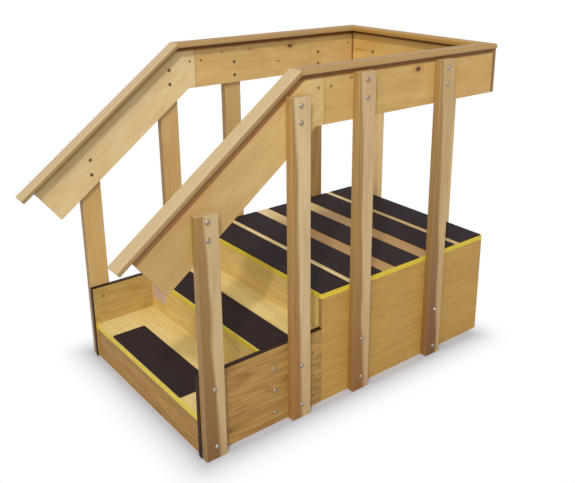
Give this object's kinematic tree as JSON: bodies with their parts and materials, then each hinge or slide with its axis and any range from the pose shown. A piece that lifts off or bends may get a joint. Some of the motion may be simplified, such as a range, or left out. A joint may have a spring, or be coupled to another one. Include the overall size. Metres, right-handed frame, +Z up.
{
  "type": "training staircase",
  "caption": "One-sided wooden training staircase with anti-slip treads, a closed platform base and handrails on both sides and across the rear.",
  "frame": {"origin": "bottom centre of the whole staircase's bounding box, on the floor", "axes": "+X the way up the steps towards the platform, +Y the climber's left, +Z up"},
  "size_m": [1.786, 0.954, 1.332],
  "materials": {
    "laminate": "satin",
    "tread_wood": "satin",
    "rail_wood": "satin",
    "cap_wood": "satin",
    "post_wood": "satin",
    "mat": "matte",
    "yellow_edging": "satin",
    "black_band": "satin"
  },
  "bodies": {
    "root": {"stair_side_right": "laminate", "stair_side_left": "laminate", "side_edging_right": "black_band", "side_edging_left": "black_band", "riser_1": "laminate", "riser_2": "laminate", "tread_1": "tread_wood", "tread_2": "tread_wood", "tread_1_nosing": "yellow_edging", "tread_2_nosing": "yellow_edging", "tread_1_mat": "mat", "tread_2_mat": "mat", "platform_side_right": "laminate", "platform_side_left": "laminate", "platform_front": "laminate", "platform_rear": "laminate", "platform_deck": "tread_wood", "deck_edging": "yellow_edging", "deck_strip_1": "mat", "deck_strip_2": "mat", "deck_strip_3": "mat", "deck_strip_4": "mat", "deck_strip_5": "mat", "rail_slope_right": "rail_wood", "rail_slope_left": "rail_wood", "rail_level_right": "rail_wood", "rail_level_left": "rail_wood", "rail_rear": "rail_wood", "cap_slope_right": "cap_wood", "cap_slope_left": "cap_wood", "cap_level_right": "cap_wood", "cap_level_left": "cap_wood", "cap_rear": "cap_wood", "post_right_1": "post_wood", "post_right_2": "post_wood", "post_right_3": "post_wood", "post_right_4": "post_wood", "post_left_1": "post_wood", "post_left_2": "post_wood", "post_left_3": "post_wood", "post_left_4": "post_wood", "post_rear_left": "post_wood", "post_rear_right": "post_wood"}
  },
  "joints": []
}
